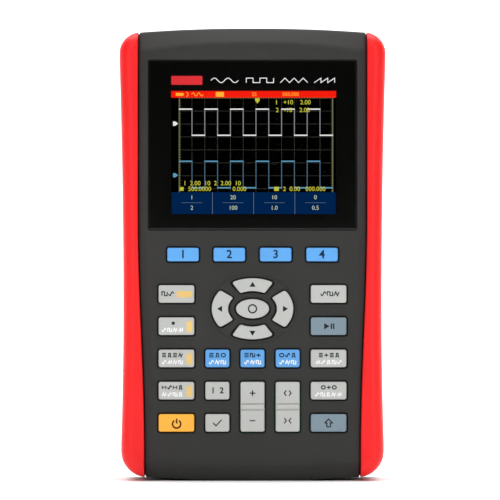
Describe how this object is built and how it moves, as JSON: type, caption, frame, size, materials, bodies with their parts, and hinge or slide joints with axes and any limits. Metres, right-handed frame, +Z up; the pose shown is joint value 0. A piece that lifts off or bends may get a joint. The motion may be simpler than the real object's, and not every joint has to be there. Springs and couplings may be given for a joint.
{
  "type": "handheld oscilloscope",
  "caption": "Handheld two-channel oscilloscope: upright dark case in red grips, display window over rubber keys, coaxial inputs in a top recess, tilt stand behind.",
  "frame": {"origin": "middle of the bounding box's underside, the land at the middle of the lower end that the unit stands on", "axes": "+Z up along the unit's height, -Y out of the face with the display and keys, +X to the right of someone facing the display"},
  "size_m": [0.117, 0.049, 0.199],
  "materials": {
    "dark_case": "fine matt texture",
    "red_grip": "satin overmoulded grip",
    "grey_key": "matt, rounded edge",
    "blue_key": "matt, rounded edge",
    "slate_key": "matt, rounded edge",
    "orange_key": "matt, rounded edge",
    "black_glass": "polished, black printed border",
    "display": "smooth, lit from behind",
    "white_plastic": "moulded",
    "mat_rubber": "moulded silicone",
    "black_rubber": "matt",
    "black_plastic": "moulded",
    "circuit_board": "green solder mask",
    "nickel": "bright nickel plate",
    "tinned_steel": "bright tin plate",
    "screw_steel": "dark zinc",
    "gold_contact": "gold flash",
    "dielectric": "moulded",
    "cell_wrap": "shrink wrap"
  },
  "bodies": {
    "body": {"front_case": "dark_case", "rear_case": "dark_case", "left_grip": "red_grip", "right_grip": "red_grip", "display_window": "black_glass", "display_panel": "display", "display_holder": "white_plastic", "keypad_mat": "mat_rubber", "key_board": "circuit_board", "main_board": "circuit_board", "power_board": "circuit_board", "shield_can": "tinned_steel", "buzzer": "black_plastic", "battery_pack": "cell_wrap", "battery_door": "dark_case", "battery_door_screw": "screw_steel", "case_screw_1": "screw_steel", "case_screw_2": "screw_steel", "case_screw_3": "screw_steel", "case_screw_4": "screw_steel", "connector_panel": "black_plastic", "input_1_shell": "nickel", "input_1_insulator": "dielectric", "input_1_contact": "gold_contact", "input_1_nut": "nickel", "input_2_shell": "nickel", "input_2_insulator": "dielectric", "input_2_contact": "gold_contact", "input_2_nut": "nickel", "dc_jack": "black_plastic", "usb_socket": "tinned_steel"},
    "mode_key": {"mode_key": "grey_key"},
    "acquire_key": {"acquire_key": "grey_key"},
    "configure_key": {"configure_key": "grey_key"},
    "cursor_key": {"cursor_key": "grey_key"},
    "power_key": {"power_key": "orange_key"},
    "auto_key": {"auto_key": "grey_key"},
    "run_stop_key": {"run_stop_key": "slate_key"},
    "utility_key": {"utility_key": "grey_key"},
    "help_key": {"help_key": "grey_key"},
    "shift_key": {"shift_key": "slate_key"},
    "status_key": {"status_key": "blue_key"},
    "storage_key": {"storage_key": "blue_key"},
    "reference_key": {"reference_key": "blue_key"},
    "channel_key": {"channel_key": "grey_key"},
    "select_key": {"select_key": "grey_key"},
    "function_key_1": {"function_key_1": "blue_key"},
    "function_key_2": {"function_key_2": "blue_key"},
    "function_key_3": {"function_key_3": "blue_key"},
    "function_key_4": {"function_key_4": "blue_key"},
    "ok_key": {"ok_key": "grey_key"},
    "up_key": {"up_key": "grey_key"},
    "down_key": {"down_key": "grey_key"},
    "left_key": {"left_key": "grey_key"},
    "right_key": {"right_key": "grey_key"},
    "volts_rocker": {"volts_rocker": "grey_key"},
    "time_rocker": {"time_rocker": "grey_key"},
    "tilt_stand": {"tilt_stand": "dark_case"},
    "port_cover": {"port_cover": "black_rubber"}
  },
  "joints": [
    {"name": "mode_key_press", "type": "slide", "parent": "body", "child": "mode_key", "axis": [0, 1, 0], "range_m": [0, 0.001], "stiffness_N_per_m": 800},
    {"name": "acquire_key_press", "type": "slide", "parent": "body", "child": "acquire_key", "axis": [0, 1, 0], "range_m": [0, 0.001], "stiffness_N_per_m": 800},
    {"name": "configure_key_press", "type": "slide", "parent": "body", "child": "configure_key", "axis": [0, 1, 0], "range_m": [0, 0.001], "stiffness_N_per_m": 800},
    {"name": "cursor_key_press", "type": "slide", "parent": "body", "child": "cursor_key", "axis": [0, 1, 0], "range_m": [0, 0.001], "stiffness_N_per_m": 800},
    {"name": "power_key_press", "type": "slide", "parent": "body", "child": "power_key", "axis": [0, 1, 0], "range_m": [0, 0.001], "stiffness_N_per_m": 800},
    {"name": "auto_key_press", "type": "slide", "parent": "body", "child": "auto_key", "axis": [0, 1, 0], "range_m": [0, 0.001], "stiffness_N_per_m": 800},
    {"name": "run_stop_key_press", "type": "slide", "parent": "body", "child": "run_stop_key", "axis": [0, 1, 0], "range_m": [0, 0.001], "stiffness_N_per_m": 800},
    {"name": "utility_key_press", "type": "slide", "parent": "body", "child": "utility_key", "axis": [0, 1, 0], "range_m": [0, 0.001], "stiffness_N_per_m": 800},
    {"name": "help_key_press", "type": "slide", "parent": "body", "child": "help_key", "axis": [0, 1, 0], "range_m": [0, 0.001], "stiffness_N_per_m": 800},
    {"name": "shift_key_press", "type": "slide", "parent": "body", "child": "shift_key", "axis": [0, 1, 0], "range_m": [0, 0.001], "stiffness_N_per_m": 800},
    {"name": "status_key_press", "type": "slide", "parent": "body", "child": "status_key", "axis": [0, 1, 0], "range_m": [0, 0.001], "stiffness_N_per_m": 800},
    {"name": "storage_key_press", "type": "slide", "parent": "body", "child": "storage_key", "axis": [0, 1, 0], "range_m": [0, 0.001], "stiffness_N_per_m": 800},
    {"name": "reference_key_press", "type": "slide", "parent": "body", "child": "reference_key", "axis": [0, 1, 0], "range_m": [0, 0.001], "stiffness_N_per_m": 800},
    {"name": "channel_key_press", "type": "slide", "parent": "body", "child": "channel_key", "axis": [0, 1, 0], "range_m": [0, 0.001], "stiffness_N_per_m": 800},
    {"name": "select_key_press", "type": "slide", "parent": "body", "child": "select_key", "axis": [0, 1, 0], "range_m": [0, 0.001], "stiffness_N_per_m": 800},
    {"name": "function_key_1_press", "type": "slide", "parent": "body", "child": "function_key_1", "axis": [0, 1, 0], "range_m": [0, 0.001], "stiffness_N_per_m": 800},
    {"name": "function_key_2_press", "type": "slide", "parent": "body", "child": "function_key_2", "axis": [0, 1, 0], "range_m": [0, 0.001], "stiffness_N_per_m": 800},
    {"name": "function_key_3_press", "type": "slide", "parent": "body", "child": "function_key_3", "axis": [0, 1, 0], "range_m": [0, 0.001], "stiffness_N_per_m": 800},
    {"name": "function_key_4_press", "type": "slide", "parent": "body", "child": "function_key_4", "axis": [0, 1, 0], "range_m": [0, 0.001], "stiffness_N_per_m": 800},
    {"name": "ok_key_press", "type": "slide", "parent": "body", "child": "ok_key", "axis": [0, 1, 0], "range_m": [0, 0.001], "stiffness_N_per_m": 800},
    {"name": "up_key_press", "type": "slide", "parent": "body", "child": "up_key", "axis": [0, 1, 0], "range_m": [0, 0.001], "stiffness_N_per_m": 800},
    {"name": "down_key_press", "type": "slide", "parent": "body", "child": "down_key", "axis": [0, 1, 0], "range_m": [0, 0.001], "stiffness_N_per_m": 800},
    {"name": "left_key_press", "type": "slide", "parent": "body", "child": "left_key", "axis": [0, 1, 0], "range_m": [0, 0.001], "stiffness_N_per_m": 800},
    {"name": "right_key_press", "type": "slide", "parent": "body", "child": "right_key", "axis": [0, 1, 0], "range_m": [0, 0.001], "stiffness_N_per_m": 800},
    {"name": "volts_rocker_tilt", "type": "hinge", "parent": "body", "child": "volts_rocker", "pos_m": [0, -0.0195, 0.03268], "axis": [1, 0, 0], "range_deg": [-3.5, 3.5], "stiffness_Nm_per_rad": 0.17},
    {"name": "time_rocker_tilt", "type": "hinge", "parent": "body", "child": "time_rocker", "pos_m": [0.01543, -0.0195, 0.03268], "axis": [1, 0, 0], "range_deg": [-3.5, 3.5], "stiffness_Nm_per_rad": 0.17},
    {"name": "tilt_stand_hinge", "type": "hinge", "parent": "body", "child": "tilt_stand", "pos_m": [0, 0.0223, 0.116], "axis": [1, 0, 0], "range_deg": [0, 60]},
    {"name": "port_cover_hinge", "type": "hinge", "parent": "body", "child": "port_cover", "pos_m": [0.0554, 0.0116, 0.1562], "axis": [0, -1, 0], "range_deg": [0, 100]}
  ]
}
